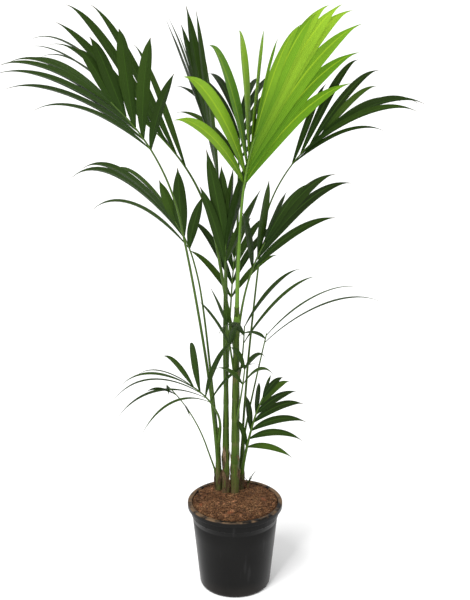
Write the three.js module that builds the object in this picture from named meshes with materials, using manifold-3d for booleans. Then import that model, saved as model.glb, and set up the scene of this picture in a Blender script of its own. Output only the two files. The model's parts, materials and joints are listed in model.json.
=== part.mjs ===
// A potted Kentia palm: a plastic nursery pot, its root ball, four stems and their fronds, a sprout, and
// bark chips on the soil.
// Millimetres, +Z up. The origin is the centre of the pot's underside.
import * as THREE from "three";
import { mergeVertices } from "three/addons/utils/BufferGeometryUtils.js";
import Module from "manifold-3d";

const wasm = await Module();
wasm.setup();

// ---- Driving dimensions ----
const POT_HEIGHT = 230;
const POT_RIM_RADIUS = 120; // outside of the lip
const POT_BASE_RADIUS = 89;
const POT_WALL = 2;
const POT_FLOOR = 2.5;
const LIP_OVERHANG = 9; // how far the lip stands out from the band under it
const LIP_DROP = 13; // height of the lip's turned-down edge
const LIP_ROUND = 3; // radius of the lip's upper edge
const BAND_DEPTH = 34; // from the pot's top to the bottom of the band under the lip
const BAND_STEP = 2.5; // how far the band stands out from the wall below it
const DRAIN_HOLES = 8;
const DRAIN_RADIUS = 7;
const DRAIN_SIDES = 10;
const DRAIN_INSET = 16; // from the foot's edge to a drain hole's centre
const POT_SIDES = 40;
const LIP_STEPS = 3; // flats in the lip's rounded edge

const SOIL_BELOW_RIM = 9; // from the pot's top to the soil's edge
const SOIL_MOUND = 12; // rise of the soil from its edge to its middle
const SOIL_RINGS = [1, 0.8, 0.55, 0.3, 0]; // the mound's rings, as a share of the soil's edge
const STEM_BURY = 60; // depth of a stem's foot under the soil's edge
const CLUMP_OFFSET = 37; // from the pot's axis back to the main stem
const FIT_GAP = 0.3; // clearance between pieces that touch
const CHIP_COUNT = 8;
const CHIP_LENGTH = 26;
const CHIP_ARC = [2.8, 6.9]; // the turns, in radians, between which the chips lie
const CHIP_INSET = 29; // from the soil's edge to the chips

const PLANT_HEIGHT = 1240; // from the soil's edge to the highest leaflet tip
const MAIN_STEM_RADIUS = 11;
const SIDE_STEM_RADIUS = 9;
const SPROUT_RADIUS = 2;
const STEM_SIDES = 8;
const STEM_STEPS = 6;
const STALK_SIDES = 4;
const STALK_STEPS = 11;
const LINE_STEPS = 14; // straight steps that a leaning line is worked out in

const LEAFLET_STATIONS = 4;
const LEAFLET_DEPTH = 1.6; // from a leaflet's face to the underside of its midrib
const LEAFLET_CLEARANCE = 1; // between leaflets of different fronds
// A leaflet's half width from its base to its tip, as a share of the widest.
const LEAFLET_OUTLINE = [0.18, 0.88, 0.98, 0.66, 0];
// A row's leaflets from the first to the last, as a share of its longest.
const LEAFLET_LENGTHS = [0.8, 1, 0.98, 0.85, 0.66];
const LAST_LEAFLET = 0.985; // the share of a frond's line at which its last leaflet leaves the rachis
const DEGREE = Math.PI / 180;
const LOUVRE = 24 * DEGREE; // turn of each leaflet about its own length
// The swings, forward or back, that a leaflet may take to clear another frond.
const SWAYS = [0, -15, 15, -30, 30, -45, 45, -60, 60, -80, 80, -100, 100, -120, 120];

const SOIL_TOP = POT_HEIGHT - SOIL_BELOW_RIM;
const UP = new THREE.Vector3(0, 0, 1);
const LEAF_GREEN = 0x2d4d1a;

// ---- The plant's habit ----
// PLANT_HEIGHT scales these lengths as a whole. Angles are degrees: a bearing is 0 towards +X and 90
// towards +Y, and a lean is 0 upright and 90 level. A list of them runs evenly from one end of a line to
// the other. A stem stands beside an earlier one at a bearing from it, with a gap between the two.
const STEMS = [
  { name: "stem_main", foot: MAIN_STEM_RADIUS, taper: [1, 0.9, 0.55],
    height: 540, leans: [2, 5, 9], bearings: [275] },
  { name: "stem_second", foot: SIDE_STEM_RADIUS, taper: [1.05, 0.9, 0.45],
    beside: "stem_main", bearing: 174, gap: 3,
    height: 420, leans: [1, 2], bearings: [80] },
  { name: "stem_left", foot: SIDE_STEM_RADIUS, taper: [1, 0.85, 0.55],
    beside: "stem_second", bearing: 140, gap: 6,
    height: 190, leans: [1, 4], bearings: [260] },
  { name: "stem_young", foot: SIDE_STEM_RADIUS, taper: [0.9, 0.75, 0.45],
    beside: "stem_main", bearing: 60, gap: 10,
    height: 190, leans: [3, 8], bearings: [295] },
  { name: "sprout", foot: SPROUT_RADIUS, taper: [1, 0.8, 0.3],
    beside: "stem_young", bearing: 18, gap: 8,
    height: 48, leans: [4, 18], bearings: [330] },
];

// A frond leaves its stem at a height, and is a bare stalk, then a blade that carries a row of leaflets
// on each side: left and right as seen from the stem. "roll" turns the blade about its rachis. In a row,
// "length" is the longest leaflet's, "spread" its angle from the rachis at the first leaflet and at the
// last, "lift" how far it rises out of the blade's face, "droop" how far its tip hangs, and "arch" how far
// its middle bows up, both as a share of its length.
const FRONDS = [
  { name: "frond_left_low", stem: "stem_left", from: 60, stalk: 910, blade: 150, radius: [4.6, 1.8],
    leans: [6, 8, 11, 12, 14, 30, 46], bearings: [235, 228, 222, 206], roll: 50,
    left: { count: 5, length: 260, width: 42, spread: [44, 12], lift: 6, droop: 0.04, arch: 0.08 },
    right: { count: 6, length: 370, width: 34, spread: [36, 12], lift: 6, droop: 0.16, arch: 0.12 } },
  { name: "frond_left_high", stem: "stem_main", from: 420, stalk: 470, blade: 160, radius: [5, 1.8],
    leans: [14, 12, 12, 24, 40, 52], bearings: [150, 142, 158, 172], roll: 50,
    left: { count: 5, length: 430, width: 34, spread: [22, 6], lift: 6, droop: 0.06, arch: 0.08 },
    right: { count: 5, length: 480, width: 34, spread: [18, 6], lift: 6, droop: 0.12, arch: 0.12 } },
  { name: "frond_centre", stem: "stem_second", from: 360, stalk: 470, blade: 150, radius: [4.6, 1.8],
    leans: [2, 5, 8, 10, 14, 20], bearings: [75, 110, 150], roll: 60,
    left: { count: 4, length: 390, width: 40, spread: [20, 6], lift: 0, droop: 0.04, arch: 0.03 },
    right: { count: 5, length: 400, width: 38, spread: [26, 8], lift: 0, droop: 0.06, arch: 0.04 } },
  { name: "frond_bright", color: 0x7fa82a, stem: "stem_main", from: 500, stalk: 360, blade: 120,
    radius: [5.5, 2.2], leans: [5, 7, 8, 9, 13, 20], bearings: [280, 290, 325], roll: 180,
    left: { count: 6, length: 400, width: 44, spread: [50, 8], lift: 6, droop: 0.04, arch: 0.1 },
    right: { count: 8, length: 450, width: 44, spread: [46, 8], lift: 6, droop: 0.06, arch: 0.1 } },
  { name: "frond_right", stem: "stem_young", from: 100, stalk: 800, blade: 110, radius: [3.6, 1.6],
    leans: [2, 4, 6, 6, 7, 30, 52], bearings: [70, -40, -20, -10, -2], roll: 50,
    left: { count: 4, length: 290, width: 26, spread: [20, 6], lift: 6, droop: 0.12, arch: 0.12 },
    right: { count: 5, length: 350, width: 28, spread: [24, 8], lift: 6, droop: 0.22, arch: 0.14 } },
  { name: "frond_middle_left", stem: "stem_left", from: 120, stalk: 560, blade: 80, radius: [4, 1.8],
    leans: [4, 5, 6, 6, 8, 16, 32], bearings: [140, 210, 202, 196], roll: 50,
    left: { count: 3, length: 190, width: 42, spread: [34, 10], lift: 4, droop: 0, arch: 0.04 },
    right: { count: 4, length: 360, width: 36, spread: [48, 14], lift: 4, droop: 0.2, arch: 0.2 } },
  { name: "frond_middle_centre", stem: "stem_second", from: 230, stalk: 420, blade: 80,
    radius: [4, 1.8], leans: [7, 8, 7, 6, 4], bearings: [250, 275, 290], roll: 0,
    left: { count: 3, length: 260, width: 44, spread: [24, 5], lift: 0, droop: 0.02, arch: 0.03 },
    right: { count: 3, length: 270, width: 42, spread: [18, 5], lift: 0, droop: 0.02, arch: 0.04 } },
  { name: "frond_middle_right", stem: "stem_main", from: 400, stalk: 250, blade: 80, radius: [4, 1.8],
    leans: [8, 9, 14, 22, 30], bearings: [-60, -40, -35], roll: 160,
    left: { count: 3, length: 240, width: 42, spread: [30, 6], lift: 4, droop: 0, arch: 0.04 },
    right: { count: 4, length: 310, width: 36, spread: [46, 8], lift: 4, droop: 0.08, arch: 0.1 } },
  { name: "frond_small_right", stem: "stem_main", from: 300, stalk: 140, blade: 50, radius: [3, 1.5],
    leans: [12, 10, 10], bearings: [30, -60, -80], roll: 0,
    left: { count: 2, length: 320, width: 24, spread: [46, 40], lift: 0, droop: 0.05, arch: 0.1 },
    right: { count: 1, length: 90, width: 24, spread: [50, 50], lift: 0, droop: 0.2, arch: 0.2 } },
  { name: "frond_small_left", stem: "stem_main", from: 330, stalk: 110, blade: 60, radius: [3.4, 1.6],
    leans: [12, 12, 15], bearings: [225, 240], roll: 0,
    left: { count: 2, length: 110, width: 28, spread: [22, 10], lift: 5, droop: 0.05, arch: 0.05 },
    right: { count: 2, length: 170, width: 32, spread: [36, 16], lift: 5, droop: 0.05, arch: 0.05 } },
  { name: "frond_low_right", stem: "stem_young", from: 150, stalk: 320, blade: 30, radius: [3, 1.6],
    leans: [12, 16, 20, 26], bearings: [315, 290], roll: 0,
    left: { count: 2, length: 410, width: 28, spread: [68, 54], lift: 4, droop: 0.14, arch: 0.14 },
    right: { count: 1, length: 90, width: 22, spread: [60, 60], lift: 6, droop: 0.3, arch: 0.2 } },
  { name: "frond_folded", stem: "stem_main", from: 200, stalk: 150, blade: 50, radius: [3, 1.8],
    leans: [20, 22, 14], bearings: [290], roll: 0,
    left: { count: 2, length: 120, width: 42, spread: [55, 40], lift: 0, droop: 0.4, arch: 0.4 },
    right: { count: 2, length: 140, width: 26, spread: [50, 30], lift: 0, droop: 0.1, arch: 0.18 } },
  { name: "frond_tuft_left", stem: "stem_left", from: 150, stalk: 150, blade: 70, radius: [4, 1.6],
    leans: [16, 24, 36, 50], bearings: [310, 230, 198], roll: 50,
    left: { count: 4, length: 220, width: 22, spread: [74, 14], lift: 4, droop: 0.1, arch: 0.14 },
    right: { count: 5, length: 240, width: 22, spread: [84, 22], lift: 6, droop: 0.22, arch: 0.2 } },
  { name: "frond_thin_left", stem: "stem_left", from: 40, stalk: 250, blade: 80, radius: [2.4, 1.2],
    leans: [18, 18, 30, 42], bearings: [200, 212], roll: 0,
    left: { count: 2, length: 90, width: 12, spread: [60, 50], lift: 5, droop: 0.6, arch: 0.1 },
    right: { count: 1, length: 110, width: 12, spread: [50, 50], lift: 5, droop: 0.3, arch: 0.1 } },
  { name: "frond_tuft_right", stem: "stem_young", from: 60, stalk: 85, blade: 165, radius: [4.6, 1.8],
    leans: [18, 16, 18, 26], bearings: [300, 325], roll: 150,
    left: { count: 4, length: 130, width: 24, spread: [24, 8], lift: 8, droop: 0.05, arch: 0.06 },
    right: { count: 7, length: 150, width: 28, spread: [88, 10], lift: 8, droop: 0.14, arch: 0.1 } },
  { name: "frond_back_high", stem: "stem_main", from: 380, stalk: 520, blade: 150, radius: [4.6, 1.8],
    leans: [14, 18, 20, 30, 44, 58], bearings: [88], roll: 0,
    left: { count: 5, length: 310, width: 34, spread: [44, 14], lift: 10, droop: 0.2, arch: 0.12 },
    right: { count: 5, length: 310, width: 34, spread: [44, 14], lift: 10, droop: 0.2, arch: 0.12 } },
  { name: "frond_back_low", stem: "stem_second", from: 200, stalk: 330, blade: 120, radius: [4, 1.8],
    leans: [12, 18, 26, 36, 48], bearings: [84], roll: 0,
    left: { count: 4, length: 240, width: 32, spread: [40, 14], lift: 10, droop: 0.15, arch: 0.12 },
    right: { count: 4, length: 230, width: 32, spread: [40, 14], lift: 10, droop: 0.15, arch: 0.12 } },
];

// ---- Fit of the plant in its pot ----
// The wall leans outward in a straight line from its foot to the bottom of the band, and the inside goes
// on from there to the lip.
const bandFoot = POT_HEIGHT - BAND_DEPTH;
const bandRadius = POT_RIM_RADIUS - LIP_OVERHANG;
const wallRadius = (z) => between([POT_BASE_RADIUS, bandRadius - BAND_STEP], z / bandFoot);

function innerRadius(z) {
  if (z <= bandFoot) return wallRadius(z) - POT_WALL;
  return between([wallRadius(bandFoot), bandRadius], (z - bandFoot) / BAND_DEPTH) - POT_WALL;
}

const soilEdge = innerRadius(SOIL_TOP) - FIT_GAP;

// The direction that leans from upright towards a bearing.
function heading(lean, bearing) {
  const direction = new THREE.Vector3(Math.sin(lean * DEGREE), 0, Math.cos(lean * DEGREE));
  return direction.applyAxisAngle(UP, bearing * DEGREE);
}

// A line that sets out from a point and takes its lean and its bearing from two lists.
function leaningLine(start, length, leans, bearings) {
  const points = [start];
  for (let i = 0; i < LINE_STEPS; i++) {
    const t = (i + 0.5) / LINE_STEPS;
    const step = heading(between(leans, t), between(bearings, t)).multiplyScalar(length / LINE_STEPS);
    points.push(points[i].clone().add(step));
  }
  return points;
}

// The middle of a stem's foot on the soil. The first stem stands behind the pot's axis.
function stemFoot(stem) {
  if (!stem.beside) return new THREE.Vector3(0, CLUMP_OFFSET, SOIL_TOP);
  const neighbour = STEMS.find(({ name }) => name === stem.beside);
  const widest = ({ foot, taper }) => foot * Math.max(...taper);
  const distance = widest(stem) + stem.gap + widest(neighbour);
  return heading(90, stem.bearing).multiplyScalar(distance).add(stemFoot(neighbour));
}

function stemPoints(stem, growth) {
  return leaningLine(stemFoot(stem), stem.height * growth, stem.leans, stem.bearings);
}

// The line of a frond's stalk and rachis, from the middle of its stem.
function frondLine(frond, growth) {
  const stem = STEMS.find(({ name }) => name === frond.stem);
  const axis = new THREE.CatmullRomCurve3(stemPoints(stem, growth));
  const length = (frond.stalk + frond.blade) * growth;
  return leaningLine(axis.getPointAt(frond.from / stem.height), length, frond.leans, frond.bearings);
}

// ---- Solids ----
// A closed geometry as a manifold-3d solid, and back.
function solidOf(geometry) {
  const plain = geometry.clone();
  plain.deleteAttribute("normal");
  plain.deleteAttribute("uv");
  plain.clearGroups();
  const merged = mergeVertices(plain, 1e-3);
  return new wasm.Manifold(new wasm.Mesh({
    numProp: 3,
    vertProperties: new Float32Array(merged.attributes.position.array),
    triVerts: new Uint32Array(merged.index.array),
  }));
}

function geometryOf(solid) {
  const { vertProperties, triVerts } = solid.getMesh();
  const geometry = new THREE.BufferGeometry();
  geometry.setAttribute("position", new THREE.BufferAttribute(vertProperties, 3));
  geometry.setIndex(new THREE.BufferAttribute(triVerts, 1));
  geometry.computeVertexNormals();
  return geometry;
}

// The solid without the sealed hollows that its own crossing leaflets leave inside it.
function filled(name, solid) {
  const bodies = solid.decompose().filter((body) => body.volume() > 0);
  if (bodies.length !== 1) throw new Error(name + " is in " + bodies.length + " bodies");
  return bodies[0];
}

// A tube along a curve, whose radius runs through the given values from its start to its end.
function taperedTube(curve, radii, sides, steps) {
  const ring = [];
  for (let i = 0; i < sides; i++) {
    const turn = (2 * Math.PI * i) / sides;
    ring.push(new THREE.Vector2(Math.cos(turn), Math.sin(turn)));
  }
  const geometry = new THREE.ExtrudeGeometry(new THREE.Shape(ring), { steps, extrudePath: curve });
  const centres = curve.getSpacedPoints(steps);
  const position = geometry.attributes.position;
  const vertex = new THREE.Vector3();
  for (let i = 0; i < position.count; i++) {
    vertex.fromBufferAttribute(position, i);
    let nearest = 0;
    centres.forEach((c, k) => {
      if (c.distanceTo(vertex) < centres[nearest].distanceTo(vertex)) nearest = k;
    });
    const radius = between(radii, nearest / steps);
    vertex.sub(centres[nearest]).multiplyScalar(radius).add(centres[nearest]);
    position.setXYZ(i, vertex.x, vertex.y, vertex.z);
  }
  return solidOf(geometry);
}

// The room that such a tube takes with its clearance all round and past both ends.
function wideTube(points, radii, sides, steps) {
  const reach = (end, next) => end.clone().sub(next).setLength(FIT_GAP).add(end);
  const last = points.length - 1;
  const ends = [reach(points[0], points[1]), reach(points[last], points[last - 1])];
  const curve = new THREE.CatmullRomCurve3([ends[0], ...points.slice(1, -1), ends[1]]);
  return taperedTube(curve, radii.map((r) => r + FIT_GAP), sides, steps);
}

// The value at share t of a list of values, straight between them.
function between(values, t) {
  const place = Math.min(Math.max(t, 0), 1) * (values.length - 1);
  const i = Math.floor(place);
  const next = values[Math.min(i + 1, values.length - 1)];
  return values[i] + (next - values[i]) * (place - i);
}

// The point at share t of a curve, on the straight steps that its tube is made of.
function onTube(curve, steps, t) {
  const step = Math.min(Math.floor(t * steps), steps - 1);
  return curve.getPointAt(step / steps).lerp(curve.getPointAt((step + 1) / steps), t * steps - step);
}

// ---- Leaflets ----
// The line that a leaflet's midrib follows: it rises from the rachis, then its tip hangs.
function leafletLine(base, tip, along, arch) {
  const chord = tip.clone().sub(base);
  const reach = chord.length();
  const early = base.clone().addScaledVector(chord, 0.3).addScaledVector(along, 0.08 * reach);
  const late = base.clone().addScaledVector(chord, 0.75);
  early.addScaledVector(UP, arch * reach);
  late.addScaledVector(UP, 1.5 * arch * reach);
  return new THREE.CubicBezierCurve3(base, early, late, tip);
}

// A leaflet is a long blade with a three-sided section: two edges and the midrib below.
function leafletSolid(line, side, width, margin = 0) {
  const geometry = new THREE.ConeGeometry(1, 1, 3, LEAFLET_STATIONS, false);
  geometry.deleteAttribute("normal");
  geometry.deleteAttribute("uv");
  const blade = mergeVertices(geometry, 1e-4);
  const position = blade.attributes.position;
  for (let i = 0; i < position.count; i++) {
    const t = Math.min(Math.max(position.getY(i) + 0.5, 0), 1);
    const shrink = Math.max(1 - t, 1e-6);
    const across = position.getX(i) / shrink / Math.sin(Math.PI / 3);
    const below = (position.getZ(i) / shrink + 0.5) / 1.5;
    const down = new THREE.Vector3().crossVectors(side, line.getTangent(t)).normalize();
    const place = line.getPoint(t);
    if (t > 1 - 1e-6) {
      place.addScaledVector(line.getTangent(1), margin);
    } else {
      const half = (width * between(LEAFLET_OUTLINE, t)) / 2 + margin;
      place.addScaledVector(side, across * half);
      place.addScaledVector(down, below * (LEAFLET_DEPTH + 2 * margin) - margin);
    }
    position.setXYZ(i, place.x, place.y, place.z);
  }
  return solidOf(blade);
}

// The leaflets of a frond. Each sets out from the rachis in the blade's face, and its tip hangs.
function leafletsOf(frond, growth) {
  const curve = new THREE.CatmullRomCurve3(frondLine(frond, growth));
  const bladeStart = frond.stalk / (frond.stalk + frond.blade);
  const found = [];
  for (const [side, sign] of [["left", 1], ["right", -1]]) {
    const row = frond[side];
    for (let i = 0; i < row.count; i++) {
      const share = row.count > 1 ? i / (row.count - 1) : 0.5; // a lone leaflet stands at mid blade
      const at = bladeStart + (LAST_LEAFLET - bladeStart) * share;
      const along = curve.getTangentAt(at);
      const across = heading(90, between(frond.bearings, at) + 90);
      across.addScaledVector(along, -across.dot(along)).normalize();
      across.applyAxisAngle(along, frond.roll * DEGREE);
      const face = new THREE.Vector3().crossVectors(along, across);
      const spread = between(row.spread, share) * DEGREE;
      const length = row.length * between(LEAFLET_LENGTHS, share) * growth;
      const outward = across.clone().multiplyScalar(sign * Math.cos(row.lift * DEGREE));
      outward.addScaledVector(face, Math.sin(row.lift * DEGREE));
      const base = onTube(curve, STALK_STEPS, at);
      const tip = base.clone().addScaledVector(along, Math.cos(spread) * length);
      tip.addScaledVector(outward, Math.sin(spread) * length);
      tip.addScaledVector(UP, -row.droop * length);
      const width = row.width * (0.75 + 0.25 * Math.sin(Math.PI * share));
      found.push({ base, tip, along, arch: row.arch, face, width, lap: sign * LOUVRE });
    }
  }
  return found;
}

// The growth that brings the highest leaflet tip to PLANT_HEIGHT above the soil's edge.
function growthTo(height) {
  const tips = FRONDS.flatMap((frond) => leafletsOf(frond, 1).map(({ tip }) => tip.z));
  return height / (Math.max(...tips) - SOIL_TOP);
}

// The direction across a leaflet: in the frond's face, then turned about the leaflet so that neighbours
// lap like louvres.
function acrossLeaflet({ base, face, lap }, tip) {
  const chord = tip.clone().sub(base).normalize();
  return new THREE.Vector3().crossVectors(face, chord).normalize().applyAxisAngle(chord, lap);
}

// Whether two boxes of solids meet.
function boxesMeet(a, b) {
  return [0, 1, 2].every((k) => a.min[k] <= b.max[k] && b.min[k] <= a.max[k]);
}

// A leaflet whose way is taken by another frond swings forward or back until it is clear.
function clearLeaflet(leaflet, obstacles) {
  for (const sway of SWAYS) {
    const tip = leaflet.tip.clone().add(new THREE.Vector3(0, sway, 0));
    const line = leafletLine(leaflet.base, tip, leaflet.along, leaflet.arch);
    const side = acrossLeaflet(leaflet, tip);
    const probe = leafletSolid(line, side, leaflet.width, LEAFLET_CLEARANCE);
    const box = probe.boundingBox();
    const taken = obstacles.some((o) => boxesMeet(box, o.box) && probe.intersect(o.solid).volume() > 0);
    if (!taken) return leafletSolid(line, side, leaflet.width);
  }
  return null;
}

// ---- Pot ----
function lathe(profile) {
  const points = profile.map(([r, z]) => new THREE.Vector2(r, z));
  const geometry = new THREE.LatheGeometry(points, POT_SIDES);
  return solidOf(geometry.rotateX(Math.PI / 2));
}

function potSolid() {
  const profile = [
    [0, 0],
    [POT_BASE_RADIUS, 0],
    [wallRadius(bandFoot), bandFoot],
    [bandRadius, bandFoot + BAND_STEP],
    [bandRadius, POT_HEIGHT - POT_WALL],
    [POT_RIM_RADIUS - POT_WALL, POT_HEIGHT - POT_WALL],
    [POT_RIM_RADIUS - POT_WALL, POT_HEIGHT - LIP_DROP],
    [POT_RIM_RADIUS, POT_HEIGHT - LIP_DROP],
  ];
  for (let i = 0; i <= LIP_STEPS; i++) {
    const turn = (i * Math.PI) / (2 * LIP_STEPS);
    profile.push([
      POT_RIM_RADIUS - LIP_ROUND + LIP_ROUND * Math.cos(turn),
      POT_HEIGHT - LIP_ROUND + LIP_ROUND * Math.sin(turn),
    ]);
  }
  profile.push(
    [innerRadius(POT_HEIGHT), POT_HEIGHT],
    [innerRadius(bandFoot), bandFoot],
    [innerRadius(POT_FLOOR), POT_FLOOR],
    [0, POT_FLOOR],
  );
  let pot = lathe(profile);
  for (let i = 0; i < DRAIN_HOLES; i++) {
    const turn = ((i + 0.5) * 2 * Math.PI) / DRAIN_HOLES;
    const hole = new THREE.CylinderGeometry(DRAIN_RADIUS, DRAIN_RADIUS, 3 * POT_FLOOR, DRAIN_SIDES);
    hole.rotateX(Math.PI / 2);
    const reach = POT_BASE_RADIUS - DRAIN_INSET;
    hole.translate(reach * Math.cos(turn), reach * Math.sin(turn), 0);
    pot = pot.subtract(solidOf(hole));
  }
  return pot;
}

// ---- Root ball ----
// Its side stands the fit gap off the pot's inside, and its top rises from the edge in a mound.
function soilHeight(radius) {
  const share = Math.min(radius / soilEdge, 1);
  return SOIL_TOP + SOIL_MOUND * (1 - share * share);
}

function rootBallSolid(sockets) {
  const floor = POT_FLOOR + FIT_GAP;
  const profile = [
    [0, floor],
    [innerRadius(floor) - FIT_GAP, floor],
    [innerRadius(bandFoot) - FIT_GAP, bandFoot],
  ];
  for (const share of SOIL_RINGS) profile.push([soilEdge * share, soilHeight(soilEdge * share)]);
  let ball = lathe(profile);
  for (const socket of sockets) ball = ball.subtract(socket);
  return filled("root_ball", ball);
}

// A loose bark chip: a flat, faceted piece that lies on the mound, clear of the stems.
function chipSolid(i) {
  const geometry = new THREE.DodecahedronGeometry(1, 0);
  const length = CHIP_LENGTH * (0.7 + 0.3 * Math.sin(2.3 * i));
  geometry.scale(length / 2, length / 3.4, length / 7);
  geometry.rotateZ(1.9 * i);
  const turn = between(CHIP_ARC, i / (CHIP_COUNT - 1));
  const reach = (soilEdge - CHIP_INSET) * (1 + 0.12 * Math.sin(1.7 * i));
  geometry.translate(reach * Math.cos(turn), reach * Math.sin(turn), 0);
  const position = geometry.attributes.position;
  let lift = -Infinity;
  for (let k = 0; k < position.count; k++) {
    const radius = Math.hypot(position.getX(k), position.getY(k));
    lift = Math.max(lift, soilHeight(radius) - position.getZ(k));
  }
  geometry.translate(0, 0, lift + FIT_GAP);
  return solidOf(geometry);
}

// ---- Assembly ----
const palm = new THREE.Group();

function add(name, solid, color, roughness) {
  const material = new THREE.MeshStandardMaterial({ color, roughness, metalness: 0 });
  const mesh = new THREE.Mesh(geometryOf(solid), material);
  mesh.name = name;
  palm.add(mesh);
}

// What a leaflet has to stay clear of, with its owner: every stem, every stalk and the leaflets so far.
const obstacles = [];
const obstruct = (owner, solid) => obstacles.push({ owner, solid, box: solid.boundingBox() });

const growth = growthTo(PLANT_HEIGHT);
const sockets = [];
for (const stem of STEMS) {
  const points = stemPoints(stem, growth);
  points.unshift(points[0].clone().setZ(SOIL_TOP - STEM_BURY));
  const radii = stem.taper.map((share) => share * stem.foot);
  const solid = taperedTube(new THREE.CatmullRomCurve3(points), radii, STEM_SIDES, STEM_STEPS);
  sockets.push(wideTube(points, radii, STEM_SIDES, STEM_STEPS));
  obstruct(stem.name, solid);
  add(stem.name, solid, 0x3f5a22, 0.6);
}

add("pot", potSolid(), 0x17181a, 0.45);
add("root_ball", rootBallSolid(sockets), 0x4a3222, 0.95);
for (let i = 0; i < CHIP_COUNT; i++) add("bark_chip_" + (i + 1), chipSolid(i), 0x6b4327, 0.9);

// Each stalk starts inside its stem and is cut back to the stem's surface.
const stalks = FRONDS.map((frond) => {
  const curve = new THREE.CatmullRomCurve3(frondLine(frond, growth));
  let stalk = taperedTube(curve, frond.radius, STALK_SIDES, STALK_STEPS);
  for (const socket of sockets) stalk = stalk.subtract(socket);
  stalk = filled(frond.name, stalk);
  obstruct(frond.name, stalk);
  return { frond, stalk };
});

for (const { frond, stalk } of stalks) {
  const others = obstacles.filter(({ owner }) => owner !== frond.name);
  let solid = stalk;
  for (const leaflet of leafletsOf(frond, growth)) {
    const placed = clearLeaflet(leaflet, others);
    if (!placed) throw new Error(frond.name + " has no room for a leaflet");
    obstruct(frond.name, placed);
    solid = solid.add(placed);
  }
  add(frond.name, filled(frond.name, solid), frond.color ?? LEAF_GREEN, 0.5);
}

export default palm;
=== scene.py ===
"""A potted Kentia palm in a black nursery pot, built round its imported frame.

The habit below is worked out in millimetres, as the CAD part does it, and build() turns it into metres.
"""

import json
import math
import random

import bmesh
import bpy
from mathutils import Matrix, Vector, noise
from mathutils.kdtree import KDTree


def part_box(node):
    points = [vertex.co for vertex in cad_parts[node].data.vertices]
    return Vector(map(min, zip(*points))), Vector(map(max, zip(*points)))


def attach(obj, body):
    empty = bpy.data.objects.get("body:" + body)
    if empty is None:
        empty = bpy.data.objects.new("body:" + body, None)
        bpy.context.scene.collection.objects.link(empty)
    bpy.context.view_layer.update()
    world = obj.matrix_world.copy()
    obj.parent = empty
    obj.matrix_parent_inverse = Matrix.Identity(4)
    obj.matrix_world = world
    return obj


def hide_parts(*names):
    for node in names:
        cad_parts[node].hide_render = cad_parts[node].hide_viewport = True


MM = 0.001
UP = Vector((0, 0, 1))
ASKEW = Vector((0.3, 1, 0.2))  # a direction that no stem or stalk runs along

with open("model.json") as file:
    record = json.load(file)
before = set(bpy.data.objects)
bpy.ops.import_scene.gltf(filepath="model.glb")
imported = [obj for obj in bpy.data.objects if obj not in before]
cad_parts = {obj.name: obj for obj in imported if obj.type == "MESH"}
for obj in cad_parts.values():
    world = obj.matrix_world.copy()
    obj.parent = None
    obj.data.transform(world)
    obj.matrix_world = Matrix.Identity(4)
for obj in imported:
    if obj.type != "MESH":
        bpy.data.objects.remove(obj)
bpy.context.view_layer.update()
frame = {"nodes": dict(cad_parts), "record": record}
record_colours = {m["slot"]: m["base_color"] for m in frame["record"]["materials"]}
rng = random.Random(7)

# ---- The pot and its soil ----
# Millimetres, and the CAD part's own sizes: the pot's height and rim come from its packed box.
POT_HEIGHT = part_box("pot")[1].z / MM
POT_RIM_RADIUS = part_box("pot")[1].x / MM
POT_BASE_RADIUS = 89
POT_WALL = 2
POT_FLOOR = 2.5
LIP_OVERHANG = 9
LIP_DROP = 13
LIP_ROUND = 3
BAND_DEPTH = 34
BAND_STEP = 2.5
BAND_FOOT = POT_HEIGHT - BAND_DEPTH
BAND_RADIUS = POT_RIM_RADIUS - LIP_OVERHANG
FOOT_ROUND = 11
GROOVE_BELOW_BAND = 13
GROOVE_DEPTH = 0.8
NOTCHES = 18
NOTCH_SIZE = (5, 2.4, 3.2)  # along the band, into it and up it
SHARP_PLASTIC = 38  # degrees between faces, past which an edge is drawn sharp
DRAIN_HOLES = 8
DRAIN_RADIUS = 7
DRAIN_INSET = 16
DRAIN_SIDES = 32
POT_SIDES = 180

SOIL_BELOW_RIM = 9
SOIL_MOUND = 12
SOIL_ROUGHNESS = 2.6
LITTER_AT_EDGE = 5  # how far loose litter heaps up against the wall
SOIL_TOP = POT_HEIGHT - SOIL_BELOW_RIM
STEM_BURY = 60
CLUMP_OFFSET = 37
FIT_GAP = 0.3
SOIL_SIDES = 220
SOIL_ROUNDS = 90
CHIP_COUNT = 8
CHIP_CUTS = 7  # how finely a chip's edges are split
SHARP_BARK = 40
FIBRES = 2100
FIBRE_REACH = (6, 24)
FIBRE_THICKNESS = (0.3, 0.8)
CRUMBS = 1200
CRUMB_SIZE = (1.3, 3.5)
BIG_CRUMB = 1.7  # times the size, for a few of them
BIG_CRUMB_SHARE = 0.12

# ---- The plant's habit ----
# Angles are degrees: a bearing is 0 towards +X and 90 towards +Y, a lean is 0 upright and 90 level.
PLANT_HEIGHT = 1240
LINE_STEPS = 14
STALK_STEPS = 11
LAST_LEAFLET = 0.985
LOUVRE = 24
LEAFLET_LENGTHS = [0.8, 1, 0.98, 0.85, 0.66]
SWAYS = [0, -15, 15, -30, 30, -45, 45, -60, 60, -80, 80, -100, 100, -120, 120]
SWAY_MATCH = 3  # how near the CAD's own leaflet tip has to be

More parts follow.
